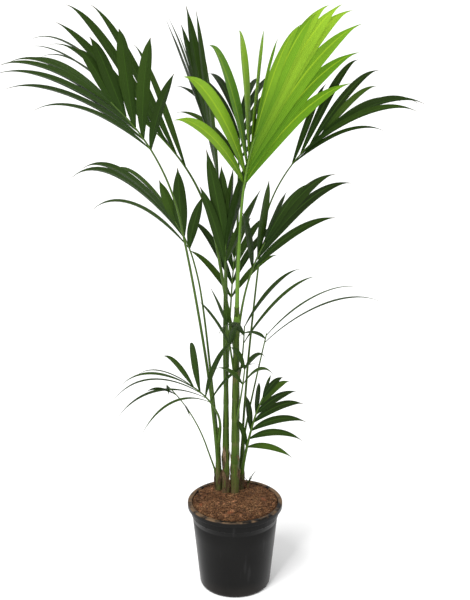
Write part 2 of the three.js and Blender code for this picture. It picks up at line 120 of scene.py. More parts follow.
STEMS = [
    dict(name="stem_main", foot=11, taper=[1, 0.9, 0.55], height=540, leans=[2, 5, 9], bearings=[275]),
    dict(name="stem_second", foot=9, taper=[1.05, 0.9, 0.45], beside="stem_main", bearing=174, gap=3,
         height=420, leans=[1, 2], bearings=[80]),
    dict(name="stem_left", foot=9, taper=[1, 0.85, 0.55], beside="stem_second", bearing=140, gap=6,
         height=190, leans=[1, 4], bearings=[260]),
    dict(name="stem_young", foot=9, taper=[0.9, 0.75, 0.45], beside="stem_main", bearing=60, gap=10,
         height=190, leans=[3, 8], bearings=[295]),
    dict(name="sprout", foot=2, taper=[1, 0.8, 0.3], beside="stem_young", bearing=18, gap=8,
         height=48, leans=[4, 18], bearings=[330]),
]


def row(count, length, width, spread, lift, droop, arch):
    """One side's leaflets."""
    return dict(count=count, length=length, width=width, spread=spread, lift=lift, droop=droop, arch=arch)


FRONDS = [
    dict(name="frond_left_low", stem="stem_left", start=60, stalk=910, blade=150, radius=[4.6, 1.8],
         leans=[6, 8, 11, 12, 14, 30, 46], bearings=[235, 228, 222, 206], roll=50,
         left=row(5, 260, 42, [44, 12], 6, 0.04, 0.08), right=row(6, 370, 34, [36, 12], 6, 0.16, 0.12)),
    dict(name="frond_left_high", stem="stem_main", start=420, stalk=470, blade=160, radius=[5, 1.8],
         leans=[14, 12, 12, 24, 40, 52], bearings=[150, 142, 158, 172], roll=50,
         left=row(5, 430, 34, [22, 6], 6, 0.06, 0.08), right=row(5, 480, 34, [18, 6], 6, 0.12, 0.12)),
    dict(name="frond_centre", stem="stem_second", start=360, stalk=470, blade=150, radius=[4.6, 1.8],
         leans=[2, 5, 8, 10, 14, 20], bearings=[75, 110, 150], roll=60,
         left=row(4, 390, 40, [20, 6], 0, 0.04, 0.03), right=row(5, 400, 38, [26, 8], 0, 0.06, 0.04)),
    dict(name="frond_bright", stem="stem_main", start=500, stalk=360, blade=120, radius=[5.5, 2.2],
         leans=[5, 7, 8, 9, 13, 20], bearings=[280, 290, 325], roll=180,
         left=row(6, 400, 44, [50, 8], 6, 0.04, 0.1), right=row(8, 450, 44, [46, 8], 6, 0.06, 0.1)),
    dict(name="frond_right", stem="stem_young", start=100, stalk=800, blade=110, radius=[3.6, 1.6],
         leans=[2, 4, 6, 6, 7, 30, 52], bearings=[70, -40, -20, -10, -2], roll=50,
         left=row(4, 290, 26, [20, 6], 6, 0.12, 0.12), right=row(5, 350, 28, [24, 8], 6, 0.22, 0.14)),
    dict(name="frond_middle_left", stem="stem_left", start=120, stalk=560, blade=80, radius=[4, 1.8],
         leans=[4, 5, 6, 6, 8, 16, 32], bearings=[140, 210, 202, 196], roll=50,
         left=row(3, 190, 42, [34, 10], 4, 0, 0.04), right=row(4, 360, 36, [48, 14], 4, 0.2, 0.2)),
    dict(name="frond_middle_centre", stem="stem_second", start=230, stalk=420, blade=80,
         radius=[4, 1.8], leans=[7, 8, 7, 6, 4], bearings=[250, 275, 290], roll=0,
         left=row(3, 260, 44, [24, 5], 0, 0.02, 0.03), right=row(3, 270, 42, [18, 5], 0, 0.02, 0.04)),
    dict(name="frond_middle_right", stem="stem_main", start=400, stalk=250, blade=80, radius=[4, 1.8],
         leans=[8, 9, 14, 22, 30], bearings=[-60, -40, -35], roll=160,
         left=row(3, 240, 42, [30, 6], 4, 0, 0.04), right=row(4, 310, 36, [46, 8], 4, 0.08, 0.1)),
    dict(name="frond_small_right", stem="stem_main", start=300, stalk=140, blade=50, radius=[3, 1.5],
         leans=[12, 10, 10], bearings=[30, -60, -80], roll=0,
         left=row(2, 320, 24, [46, 40], 0, 0.05, 0.1), right=row(1, 90, 24, [50, 50], 0, 0.2, 0.2)),
    dict(name="frond_small_left", stem="stem_main", start=330, stalk=110, blade=60, radius=[3.4, 1.6],
         leans=[12, 12, 15], bearings=[225, 240], roll=0,
         left=row(2, 110, 28, [22, 10], 5, 0.05, 0.05), right=row(2, 170, 32, [36, 16], 5, 0.05, 0.05)),
    dict(name="frond_low_right", stem="stem_young", start=150, stalk=320, blade=30, radius=[3, 1.6],
         leans=[12, 16, 20, 26], bearings=[315, 290], roll=0,
         left=row(2, 410, 28, [68, 54], 4, 0.14, 0.14), right=row(1, 90, 22, [60, 60], 6, 0.3, 0.2)),
    dict(name="frond_folded", stem="stem_main", start=200, stalk=150, blade=50, radius=[3, 1.8],
         leans=[20, 22, 14], bearings=[290], roll=0,
         left=row(2, 120, 42, [55, 40], 0, 0.4, 0.4), right=row(2, 140, 26, [50, 30], 0, 0.1, 0.18)),
    dict(name="frond_tuft_left", stem="stem_left", start=150, stalk=150, blade=70, radius=[4, 1.6],
         leans=[16, 24, 36, 50], bearings=[310, 230, 198], roll=50,
         left=row(4, 220, 22, [74, 14], 4, 0.1, 0.14), right=row(5, 240, 22, [84, 22], 6, 0.22, 0.2)),
    dict(name="frond_thin_left", stem="stem_left", start=40, stalk=250, blade=80, radius=[2.4, 1.2],
         leans=[18, 18, 30, 42], bearings=[200, 212], roll=0,
         left=row(2, 90, 12, [60, 50], 5, 0.6, 0.1), right=row(1, 110, 12, [50, 50], 5, 0.3, 0.1)),
    dict(name="frond_tuft_right", stem="stem_young", start=60, stalk=85, blade=165, radius=[4.6, 1.8],
         leans=[18, 16, 18, 26], bearings=[300, 325], roll=150,
         left=row(4, 130, 24, [24, 8], 8, 0.05, 0.06), right=row(7, 150, 28, [88, 10], 8, 0.14, 0.1)),
    dict(name="frond_back_high", stem="stem_main", start=380, stalk=520, blade=150, radius=[4.6, 1.8],
         leans=[14, 18, 20, 30, 44, 58], bearings=[88], roll=0,
         left=row(5, 310, 34, [44, 14], 10, 0.2, 0.12), right=row(5, 310, 34, [44, 14], 10, 0.2, 0.12)),
    dict(name="frond_back_low", stem="stem_second", start=200, stalk=330, blade=120, radius=[4, 1.8],
         leans=[12, 18, 26, 36, 48], bearings=[84], roll=0,
         left=row(4, 240, 32, [40, 14], 10, 0.15, 0.12), right=row(4, 230, 32, [40, 14], 10, 0.15, 0.12)),
]

# ---- The fineness of the looks ----
LEAF_OUTLINE = [0.2, 0.6, 0.88, 1.0, 0.98, 0.9, 0.74, 0.48, 0.16, 0.02]  # half width, base to tip
LEAF_STATIONS = 20
LEAF_ACROSS = [-1, -0.66, -0.33, 0, 0.33, 0.66, 1]
LEAF_THICKNESS = 0.5
LEAF_SLENDER = 0.78  # a grown blade's width, as a share of its CAD outline's
LEAF_FOLD = 0.2  # sink of the midrib, as a share of the half width
LEAF_TWIST = 16  # most turn of a leaflet from its base to its tip
STALK_RINGS = 90
STALK_ROUND = 12
STEM_ROUND = 28
STEM_RING_GAP = 5
SHEATH_PITCH = 62  # between the ring scars that old leaves leave on a stem
SHEATH_SCAR = 0.93  # where on a sheath its scar begins
SHREDS = 13  # dry sheath shreds on each stem
SHRED_REACH = (22, 64)
SHRED_WIDTH = (5, 13)
SPROUT_RINGS = 20
SPROUT_BLADES = [(200, 30), (20, 38), (320, 24)]  # bearing and reach
SPROUT_BLADE_WIDTH = 6
ARCH_CHANGE = (-0.01, 0.05)  # to a leaflet's arch in the CAD, as a share of its length


# ---- Lines ----
def between(values, t):
    """The value at share t of a list, straight between them."""
    place = min(max(t, 0.0), 1.0) * (len(values) - 1)
    i = int(place)
    after = values[min(i + 1, len(values) - 1)]
    return values[i] + (after - values[i]) * (place - i)


def catmull_rom(before, a, b, after, t):
    return a + (b - before) * (0.5 * t) + (before - a * 2.5 + b * 2 - after * 0.5) * t**2 + (
        (a - b) * 1.5 + (after - before) * 0.5
    ) * t**3


def smooth_between(values, t):
    """The value at share t of a list, on a smooth line through them."""
    place = min(max(t, 0.0), 1.0) * (len(values) - 1)
    i = min(int(place), len(values) - 2)
    before = values[i - 1] if i else values[0] * 2 - values[1]
    after = values[i + 2] if i + 2 < len(values) else values[-1] * 2 - values[-2]
    return catmull_rom(before, values[i], values[i + 1], after, place - i)


class Curve:
    """A smooth line through points, read at shares of its length."""

    STEPS = 24
    NEAR = 0.004  # how far to each side the direction is taken

    def __init__(self, points):
        parts = (len(points) - 1) * self.STEPS
        self.fine = [smooth_between(points, i / parts) for i in range(parts + 1)]
        self.reach = [0.0]
        for a, b in zip(self.fine, self.fine[1:]):
            self.reach.append(self.reach[-1] + (b - a).length)

    def at(self, t):
        wanted = min(max(t, 0.0), 1.0) * self.reach[-1]
        low, high = 0, len(self.reach) - 1
        while high - low > 1:
            middle = (low + high) // 2
            low, high = (middle, high) if self.reach[middle] <= wanted else (low, middle)
        step = self.reach[high] - self.reach[low]
        return self.fine[low].lerp(self.fine[high], (wanted - self.reach[low]) / step)

    def tangent(self, t):
        return (self.at(min(t + self.NEAR, 1)) - self.at(max(t - self.NEAR, 0))).normalized()


def heading(lean, bearing):
    """The direction that leans from upright towards a bearing."""
    lean, bearing = math.radians(lean), math.radians(bearing)
    return Vector((math.sin(lean) * math.cos(bearing), math.sin(lean) * math.sin(bearing), math.cos(lean)))


def leaning_line(start, length, leans, bearings):
    """A line of a length that leans and bears as the lists say, from its start to its end."""
    points = [start]
    for i in range(LINE_STEPS):
        t = (i + 0.5) / LINE_STEPS
        direction = heading(between(leans, t), between(bearings, t))
        points.append(points[-1] + direction * (length / LINE_STEPS))
    return points


def turned(vector, axis, degrees):
    return Matrix.Rotation(math.radians(degrees), 3, axis) @ vector


# ---- The plant's lines ----
def stem_of(name):
    return next(stem for stem in STEMS if stem["name"] == name)


def stem_foot(stem):
    if "beside" not in stem:
        return Vector((0, CLUMP_OFFSET, SOIL_TOP))
    neighbour = stem_of(stem["beside"])
    widths = [s["foot"] * max(s["taper"]) for s in (stem, neighbour)]
    return stem_foot(neighbour) + heading(90, stem["bearing"]) * (sum(widths) + stem["gap"])


def stem_points(stem, growth):
    return leaning_line(stem_foot(stem), stem["height"] * growth, stem["leans"], stem["bearings"])


def frond_curve(frond, growth):
    stem = stem_of(frond["stem"])
    start = Curve(stem_points(stem, growth)).at(frond["start"] / stem["height"])
    length = (frond["stalk"] + frond["blade"]) * growth
    return Curve(leaning_line(start, length, frond["leans"], frond["bearings"]))


def leaflets_of(frond, growth):
    """Where each leaflet of a frond springs from, where its tip is and how it faces."""
    curve = frond_curve(frond, growth)
    blade_start = frond["stalk"] / (frond["stalk"] + frond["blade"])
    found = []
    for side, sign in (("left", 1), ("right", -1)):
        leaves = frond[side]
        count = leaves["count"]
        shares = [i / (count - 1) for i in range(count)] if count > 1 else [0.5]
        for share in shares:
            at = blade_start + (LAST_LEAFLET - blade_start) * share
            along = curve.tangent(at)
            across = heading(90, between(frond["bearings"], at) + 90)
            across = turned((across - along * across.dot(along)).normalized(), along, frond["roll"])
            face = along.cross(across)
            spread = math.radians(between(leaves["spread"], share))
            lift = math.radians(leaves["lift"])
            length = leaves["length"] * between(LEAFLET_LENGTHS, share) * growth
            outward = across * (sign * math.cos(lift)) + face * math.sin(lift)
            step = min(int(at * STALK_STEPS), STALK_STEPS - 1)
            chord = (curve.at(step / STALK_STEPS), curve.at((step + 1) / STALK_STEPS))
            base = chord[0].lerp(chord[1], at * STALK_STEPS - step)
            tip = base + along * (math.cos(spread) * length) + outward * (math.sin(spread) * length)
            tip -= UP * (leaves["droop"] * length)
            width = leaves["width"] * (0.75 + 0.25 * math.sin(math.pi * share))
            found.append(dict(
                root=curve.at(at), base=base, tip=tip, along=along, face=face, width=width,
                arch=leaves["arch"], lap=sign * LOUVRE,
            ))
    return found


def sway_leaflets(frond, leaflets):
    """Swings each leaflet forward or back as the CAD part's own one is."""
    vertices = frame["nodes"][frond["name"]].data.vertices
    tree = KDTree(len(vertices))
    for i, vertex in enumerate(vertices):
        tree.insert(vertex.co / MM, i)
    tree.balance()
    for leaf in leaflets:
        tips = [leaf["tip"] + Vector((0, sway, 0)) for sway in SWAYS]
        leaf["tip"] = next((tip for tip in tips if tree.find(tip)[2] < SWAY_MATCH), tips[0])
    return leaflets


# ---- Meshes ----
ATTRIBUTES = ("along", "across", "shade", "under")


class Shell:
    """Closed surfaces gathered into one mesh, with the values that its material reads at each point."""

    def __init__(self):
        self.points, self.faces, self.finishes, self.creased = [], [], [], set()
        self.values = {name: [] for name in ATTRIBUTES}

    def skin(self, rings, values, finish=0, creases=()):
        """Closes a skin over rings of points. A ring of one point is an end that comes to a tip."""
        starts = []
        for ring, value in zip(rings, values):
            starts.append(len(self.points))
            self.points.extend(ring)
            for name in ATTRIBUTES:
                given = value.get(name, 0)
                self.values[name].extend(given if isinstance(given, list) else [given] * len(ring))
            if len(ring) > 1:
                self.creased.update(starts[-1] + k for k in creases)
            elif creases:
                self.creased.add(starts[-1])
        for (a, first), (b, second) in zip(zip(starts, rings), zip(starts[1:], rings[1:])):
            sides = max(len(first), len(second))
            for k in range(sides):
                after = (k + 1) % sides
                if len(first) == 1:
                    self._face([a, b + after, b + k], finish)
                elif len(second) == 1:
                    self._face([a + k, a + after, b], finish)
                else:
                    self._face([a + k, a + after, b + after, b + k], finish)
        for start, ring in ((starts[0], rings[0]), (starts[-1], rings[-1])):
            if len(ring) > 1:
                self._face([start + k for k in range(len(ring))], finish)

    def _face(self, corners, finish):
        self.faces.append(corners)
        self.finishes.append(finish)

    def build(self, name, finishes, smooth=True):
        mesh = bpy.data.meshes.new(name)
        mesh.from_pydata([p * MM for p in self.points], [], self.faces)
        mesh.polygons.foreach_set("material_index", self.finishes)
        for attribute, values in self.values.items():
            mesh.attributes.new(attribute, "FLOAT", "POINT").data.foreach_set("value", values)
        bm = bmesh.new()
        bm.from_mesh(mesh)
        bmesh.ops.recalc_face_normals(bm, faces=bm.faces)
        for face in bm.faces:
            face.smooth = smooth
        for edge in bm.edges:
            edge.smooth = not all(v.index in self.creased for v in edge.verts)
        bm.to_mesh(mesh)
        bm.free()
        for finish in finishes:
            mesh.materials.append(finish)
        return piece_of(name, mesh)


def piece_of(name, mesh):
    piece = bpy.data.objects.new(name, mesh)
    bpy.context.scene.collection.objects.link(piece)
    return piece


def hand_over(piece, slot, *nodes):
    """Makes a piece stand for its CAD nodes, and hides them. The slot is not used."""
    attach(piece, "root")
    if nodes:
        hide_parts(*nodes)


def circle(centre, across, up, radii):
    """A ring round a centre, with one radius for each of its points."""
    ring = []
    for k, radius in enumerate(radii):
        turn = 2 * math.pi * k / len(radii)
        ring.append(centre + across * (radius * math.cos(turn)) + up * (radius * math.sin(turn)))
    return ring


def level_circle(centre, radius, sides):
    return circle(centre, Vector((1, 0, 0)), Vector((0, 1, 0)), [radius] * sides)


def carried_frames(curve, shares):
    """A place, a tangent and two directions across it at each share, without any needless turning."""
    across = None
    for t in shares:
        tangent = curve.tangent(t)
        if across is None:
            across = tangent.cross(ASKEW).normalized()
        across = (across - tangent * across.dot(tangent)).normalized()
        yield t, curve.at(t), across, tangent.cross(across)


def tube(shell, curve, radii, sides, shares, finish=0, **values):
    """A tube along a curve. radii(t, turn) is the radius at a share of it, at a turn round it."""
    rings, given = [], []
    turns = [2 * math.pi * k / sides for k in range(sides)]
    for t, centre, across, up in carried_frames(curve, shares):
        rings.append(circle(centre, across, up, [radii(t, turn) for turn in turns]))
        given.append({"along": t, **values})
    shell.skin(rings, given, finish)


# ---- Materials ----
LIP_DUST = (0.16, 0.1, 0.055, 1)
FOOT_DUST = (0.05, 0.042, 0.035, 1)
STEM_BLOTCH = (0.085, 0.06, 0.025, 1)
STEM_BASE = (0.08, 0.055, 0.028, 1)
RING_SCAR = (0.07, 0.07, 0.03, 1)
STALK_FLECK = (0.16, 0.2, 0.1, 1)
DRY_TIP = (0.11, 0.075, 0.04, 1)
STEM_SHEEN = (0.8, 1, 0.55, 1)
LEAF_SHEEN = (0.75, 1, 0.45, 1)


def shaded(slot, *factors):
    """The record's colour of a slot, lighter or darker by channel."""
    factors = factors * 3 if len(factors) == 1 else factors
    return tuple(min(c * f, 1) for c, f in zip(record_colours[slot], factors)) + (1,)


class Finish:
    """A procedural material: nodes that feed one Principled shader."""

    def __init__(self, name, **constants):
        self.material = bpy.data.materials.new(name)
        self.material.use_nodes = True
        self.tree = self.material.node_tree
        self.shader = self.tree.nodes["Principled BSDF"]
        for socket, value in constants.items():
            self.shader.inputs[socket.replace("_", " ")].default_value = value

    def feed(self, socket, value):
        if isinstance(value, bpy.types.NodeSocket):
            self.tree.links.new(value, socket)
        else:
            socket.default_value = value

    def node(self, kind, inputs, **settings):
        made = self.tree.nodes.new("ShaderNode" + kind)
        for key, value in settings.items():
            setattr(made, key, value)
        for key, value in inputs.items():
            self.feed(made.inputs[key], value)
        return made

    def attribute(self, name):
        return self.node("Attribute", {}, attribute_name=name).outputs["Fac"]

    def place(self):
        return self.node("TexCoord", {}).outputs["Object"]

    def height(self):
        return self.node("SeparateXYZ", {"Vector": self.place()}).outputs["Z"]

    def noise(self, scale, detail=3, stretch=(1, 1, 1)):
        mapped = self.node("Mapping", {"Vector": self.place(), "Scale": stretch}).outputs["Vector"]
        return self.node("TexNoise", {"Vector": mapped, "Scale": scale, "Detail": detail}).outputs["Fac"]

    def math(self, operation, *values):
        inputs = dict(enumerate(values))
        return self.node("Math", inputs, operation=operation).outputs[0]

    def times(self, a, b):
        return self.math("MULTIPLY", a, b)

    def plus(self, a, b):
        return self.math("ADD", a, b)

    def step(self, value, low, high):
        """0 below low and 1 above high, smooth between them."""
        inputs = {"Value": value, "From Min": low, "From Max": high}
        return self.node("MapRange", inputs, interpolation_type="SMOOTHSTEP").outputs["Result"]

    def ramp(self, factor, *stops):
        """Colours spread evenly over a factor from 0 to 1."""
        made = self.node("ValToRGB", {"Fac": factor})
        elements = made.color_ramp.elements
        while len(elements) < len(stops):
            elements.new(0.5)
        for i, colour in enumerate(stops):
            elements[i].position = i / (len(stops) - 1)
            elements[i].color = colour
        return made.outputs["Color"]

    def mix(self, factor, a, b):
        return self.node("Mix", {0: factor, 6: a, 7: b}, data_type="RGBA").outputs[2]

    def finish(self, colour, roughness, height, strength, distance):
        bump = self.node("Bump", {"Height": height, "Strength": strength, "Distance": distance})
        self.feed(self.shader.inputs["Base Color"], colour)
        self.feed(self.shader.inputs["Roughness"], roughness)
        self.feed(self.shader.inputs["Normal"], bump.outputs["Normal"])
        return self.material


def pot_material():
    """Black plastic: faint clouds, upright scuffs, a dusty lip and a dusty foot."""
    f = Finish("pot_plastic", Specular_IOR_Level=0.09)
    grain = f.noise(900, 2)
    clouds = f.noise(14, 4)
    scuffs = f.step(f.noise(60, 5, (1, 1, 0.12)), 0.62, 0.74)
    height = f.height()
    rim = f.step(height, (POT_HEIGHT - 4) * MM, (POT_HEIGHT - 0.5) * MM)
    dust = f.times(rim, f.step(f.noise(45, 4), 0.36, 0.6))
    foot = f.times(f.step(height, 0.045, 0.0), f.times(clouds, 0.35))
    dark, light = shaded("pot_plastic", 0.25, 0.22, 0.18), shaded("pot_plastic", 0.55, 0.5, 0.42)
    plastic = f.ramp(clouds, dark, light)
    scuffed = f.mix(f.times(scuffs, 0.25), plastic, shaded("pot_plastic", 2.2, 2, 1.8))
    dusty = f.mix(f.times(dust, 0.8), scuffed, LIP_DUST)
    footed = f.mix(foot, dusty, FOOT_DUST)
    roughness = f.plus(f.times(clouds, 0.12), 0.24)
    roughness = f.plus(roughness, f.times(dust, 0.35))
    return f.finish(footed, roughness, grain, 0.12, 0.0004)


def soil_material():
    """Dark compost with lighter grains."""
    f = Finish("soil", Specular_IOR_Level=0.15)
    lumps = f.noise(120, 6)
    grains = f.noise(650, 3)
    both = f.times(lumps, f.plus(grains, 0.5))
    colour = f.ramp(both, shaded("soil", 0.06), shaded("soil", 0.5), shaded("soil", 1.8, 1.7, 1.6))
    return f.finish(colour, 0.95, both, 0.9, 0.004)


def litter_material(name, *stops):
    """Dry plant matter: each scrap has its own shade, from stops, and a fine grain."""
    f = Finish(name, Specular_IOR_Level=0.2)
    grain = f.noise(420, 4, (1, 1, 2.5))
    patches = f.step(f.noise(24, 3), 0.3, 0.7)
    tone = f.plus(f.times(f.attribute("shade"), 0.65), f.times(patches, 0.35))
    colour = f.ramp(tone, *stops)
    dark = f.mix(f.step(grain, 0.3, 0.7), shaded("bark", 0.18), colour)
    return f.finish(dark, 0.85, grain, 0.6, 0.0012)


def stem_material():
    """A green stem with upright streaks, brown blotches, ring scars and a brown base."""
    f = Finish("stem", Specular_IOR_Level=0.22, Specular_Tint=STEM_SHEEN)
    streaks = f.noise(260, 4, (1, 1, 0.05))
    blotches = f.noise(38, 3, (1, 1, 0.4))
    scars = f.attribute("shade")
    height = f.height()
    foot = f.step(f.plus(height, f.times(blotches, -0.16)), 0.25, 0.12)
    greens = shaded("stem", 0.08), shaded("stem", 0.42, 0.4, 0.2), shaded("stem", 1.5, 1.2, 0.6)
    green = f.ramp(streaks, *greens)
    mottled = f.mix(f.times(f.step(blotches, 0.58, 0.7), 0.55), green, STEM_BLOTCH)
    footed = f.mix(f.times(foot, 0.75), mottled, STEM_BASE)
    scarred = f.mix(f.times(scars, 0.35), footed, RING_SCAR)
    roughness = f.plus(f.times(streaks, 0.25), 0.35)
    return f.finish(scarred, roughness, streaks, 0.45, 0.0012)


def stalk_material(name, dark, light):
    """A petiole: fine lengthwise streaks and pale flecks on green."""
    f = Finish(name, Specular_IOR_Level=0.22, Specular_Tint=STEM_SHEEN)
    streaks = f.noise(300, 3, (1, 1, 0.06))
    flecks = f.step(f.noise(520, 2), 0.66, 0.74)
    green = f.ramp(streaks, dark, light)
    flecked = f.mix(f.times(flecks, 0.3), green, STALK_FLECK)
    return f.finish(flecked, 0.4, streaks, 0.3, 0.0006)


def leaf_material(slot, underside, browned, *greens):
    """A leaflet: parallel veins, a pale midrib, a dull underside, a dry tip and painted shade that darkens
    it towards its base at the frond's hub. Each has its own tone, picked at random between a near-black
    green, which is painted shade, and a lit green, which is painted light.
    """
    f = Finish(slot, Specular_IOR_Level=0.12, Specular_Tint=LEAF_SHEEN)
    along, across = f.attribute("along"), f.attribute("across")
    shade, under = f.attribute("shade"), f.attribute("under")
    spread = f.math("ABSOLUTE", across)
    veins = f.math("SINE", f.times(across, 30))
    fine = f.math("SINE", f.times(across, 97))
    ribbed = f.plus(veins, f.times(fine, 0.4))
    mottle = f.noise(60, 4)
    # painted shade and light: the random tone picks each leaflet's green from near black to lit
    tone = f.plus(f.times(shade, 0.85), f.times(mottle, 0.15))
    green = f.ramp(tone, *greens)
    stripes = f.times(f.step(ribbed, -0.2, 1.2), 0.16)
    striped = f.mix(stripes, green, shaded(slot, 1.7, 1.3, 0.7))
    # painted shade: darker towards the leaflet's base, where the leaflets crowd at the frond's hub
    hub_shade_mask = f.times(f.step(along, 0.45, 0.0), 0.75)
    hub_shaded = f.mix(hub_shade_mask, striped, shaded(slot, 0.16, 0.26, 0.12))
    midrib = f.times(f.step(spread, 0.13, 0.02), 0.5)
    ribs = f.mix(midrib, hub_shaded, shaded(slot, 1.8, 1.4, 0.8))
    dull = f.mix(f.times(under, 0.45), ribs, underside)
    dry = f.plus(along, f.times(f.noise(90, 2), 0.1))
    colour = f.mix(f.times(f.step(dry, 0.93, 1.04), browned), dull, DRY_TIP)
    roughness = f.plus(f.times(mottle, 0.2), 0.34)
    return f.finish(colour, roughness, ribbed, 0.35, 0.0005)


# ---- Pot ----
def wall_radius(z):
    """The outside of the tapering wall, up to the band."""
    return between([POT_BASE_RADIUS, BAND_RADIUS - BAND_STEP], z / BAND_FOOT)


def inner_radius(z):
    if z <= BAND_FOOT:
        return wall_radius(z) - POT_WALL
    share = (z - BAND_FOOT) / BAND_DEPTH
    return between([wall_radius(BAND_FOOT), BAND_RADIUS], share) - POT_WALL


def arc(centre, radius, start, end, steps=8):
    turns = [math.radians(start + (end - start) * i / steps) for i in range(steps + 1)]
    return [(centre[0] + radius * math.cos(a), centre[1] + radius * math.sin(a)) for a in turns]


def pot_profile():
    """The section from the middle of the underside, out, up over the lip and back down inside."""
    groove = BAND_FOOT - GROOVE_BELOW_BAND
    groove_radius = wall_radius(groove) - GROOVE_DEPTH
    half_wall = POT_WALL / 2
    under_lip = POT_HEIGHT - POT_WALL
    lean = math.degrees(math.atan2(wall_radius(BAND_FOOT) - POT_BASE_RADIUS, BAND_FOOT))
    foot = (wall_radius(FOOT_ROUND) - FOOT_ROUND, FOOT_ROUND)
    lip_edge = (POT_RIM_RADIUS - half_wall, POT_HEIGHT - LIP_DROP + half_wall)
    profile = [(0, 0), (foot[0] - 6, 0)]
    profile += arc(foot, FOOT_ROUND, -90, -lean, 12)
    profile += [(wall_radius(z), z) for z in (groove * 0.4, groove * 0.8, groove - 3)]
    profile += [(groove_radius, groove - 1), (groove_radius, groove + 1)]
    profile += [(wall_radius(z), z) for z in (groove + 3, BAND_FOOT - 1)]
    profile += arc((BAND_RADIUS - BAND_STEP, BAND_FOOT + BAND_STEP), BAND_STEP, -80, 0, 6)
    profile += [(BAND_RADIUS, under_lip - 4)]
    profile += arc((BAND_RADIUS + 3, under_lip - 3), 3, 180, 90, 5)
    profile += [(POT_RIM_RADIUS - POT_WALL - 1, under_lip), (POT_RIM_RADIUS - POT_WALL, under_lip - 1)]
    profile += arc(lip_edge, half_wall, 180, 360, 6)
    profile += arc((POT_RIM_RADIUS - LIP_ROUND, POT_HEIGHT - LIP_ROUND), LIP_ROUND, 0, 90)
    profile += arc((inner_radius(POT_HEIGHT) + 1.5, POT_HEIGHT - 1.5), 1.5, 90, 180, 4)
    profile += [(inner_radius(BAND_FOOT), BAND_FOOT), (inner_radius(POT_FLOOR), POT_FLOOR), (0, POT_FLOOR)]
    return profile


def pot_cutters():
    """The drain holes through the floor and the notches under the band, as one mesh to cut with."""
    shell = Shell()
    for i in range(DRAIN_HOLES):
        turn = (i + 0.5) * 360 / DRAIN_HOLES
        spot = heading(90, turn) * (POT_BASE_RADIUS - DRAIN_INSET)
        ends = [spot + UP * z for z in (-POT_FLOOR, 3 * POT_FLOOR)]
        rings = [level_circle(end, DRAIN_RADIUS, DRAIN_SIDES) for end in ends]
        shell.skin(rings, [{}, {}])
    along, into, up = NOTCH_SIZE
    for i in range(NOTCHES):
        out = heading(90, (i + 0.5) * 360 / NOTCHES)
        across = UP.cross(out)
        rings = []
        for reach in (BAND_RADIUS - into / 2, BAND_RADIUS + into):
            corner = out * reach + UP * (BAND_FOOT - 0.5)
            rings.append([corner + across * (x * along / 2) + UP * (y * up)
                          for x, y in ((-1, 0), (1, 0), (1, 1), (-1, 1))])
        shell.skin(rings, [{}, {}])
    return shell.build("pot_cutters", [])


def build_pot(finish):
    shell = Shell()
    section = [(radius, Vector((0, 0, z))) for radius, z in pot_profile()]
    rings = [level_circle(centre, radius, POT_SIDES) if radius else [centre] for radius, centre in section]
    shell.skin(rings, [{} for _ in rings])
    pot = shell.build("nursery_pot", [finish])
    cutters = pot_cutters()
    cut = pot.modifiers.new("holes", "BOOLEAN")
    cut.operation = "DIFFERENCE"
    cut.object = cutters
    apply_modifiers(pot)
    bpy.data.objects.remove(cutters)
    pot.data.set_sharp_from_angle(angle=math.radians(SHARP_PLASTIC))
    hand_over(pot, "pot_plastic", "pot")


def apply_modifiers(piece):
    """Keeps what a piece's modifiers make of its mesh, and drops them."""
    evaluated = piece.evaluated_get(bpy.context.evaluated_depsgraph_get())
    piece.data = bpy.data.meshes.new_from_object(evaluated)
    piece.modifiers.clear()


# ---- Root ball and what lies on it ----
def soil_edge():
    return inner_radius(SOIL_TOP) - FIT_GAP


def rough_soil(x, y):
    """The height of the soil: a mound with lumps, which die away at the wall, and a heap along it."""
    radius = math.hypot(x, y)
    share = min(radius / soil_edge(), 1)
    mound = SOIL_TOP + SOIL_MOUND * (1 - share * share)
    fade = min(1, (soil_edge() - radius) / 6 + 0.25)
    lumps = noise.fractal(Vector((x, y, 0)) * 0.075, 0.7, 2.1, 5)
    heap = LITTER_AT_EDGE * share**3
    return mound + SOIL_ROUGHNESS * lumps * fade + heap


def build_root_ball(finish):
    shell = Shell()
    floor = POT_FLOOR + FIT_GAP
    rings = [[Vector((0, 0, floor))]]
    for z in (floor, BAND_FOOT):
        rings.append(level_circle(Vector((0, 0, z)), inner_radius(z) - FIT_GAP, SOIL_SIDES))
    for i in range(SOIL_ROUNDS, 0, -1):
        ring = level_circle(Vector(), soil_edge() * i / SOIL_ROUNDS, SOIL_SIDES)
        rings.append([Vector((p.x, p.y, rough_soil(p.x, p.y))) for p in ring])
    rings.append([Vector((0, 0, rough_soil(0, 0)))])
    shell.skin(rings, [{} for _ in rings])
    hand_over(shell.build("potting_mix", [finish]), "soil", "root_ball")


def scattered(count, margin):
    """Places spread evenly over the soil, clear of the stems."""
    feet = [(stem_foot(stem), stem["foot"] + 2) for stem in STEMS]
    while count:
        radius, turn = (soil_edge() - margin) * math.sqrt(rng.random()), rng.uniform(0, 360)
        spot = heading(90, turn) * radius
        if all((spot - Vector((foot.x, foot.y, 0))).length > reach for foot, reach in feet):
            count -= 1
            yield Vector((spot.x, spot.y, rough_soil(spot.x, spot.y)))


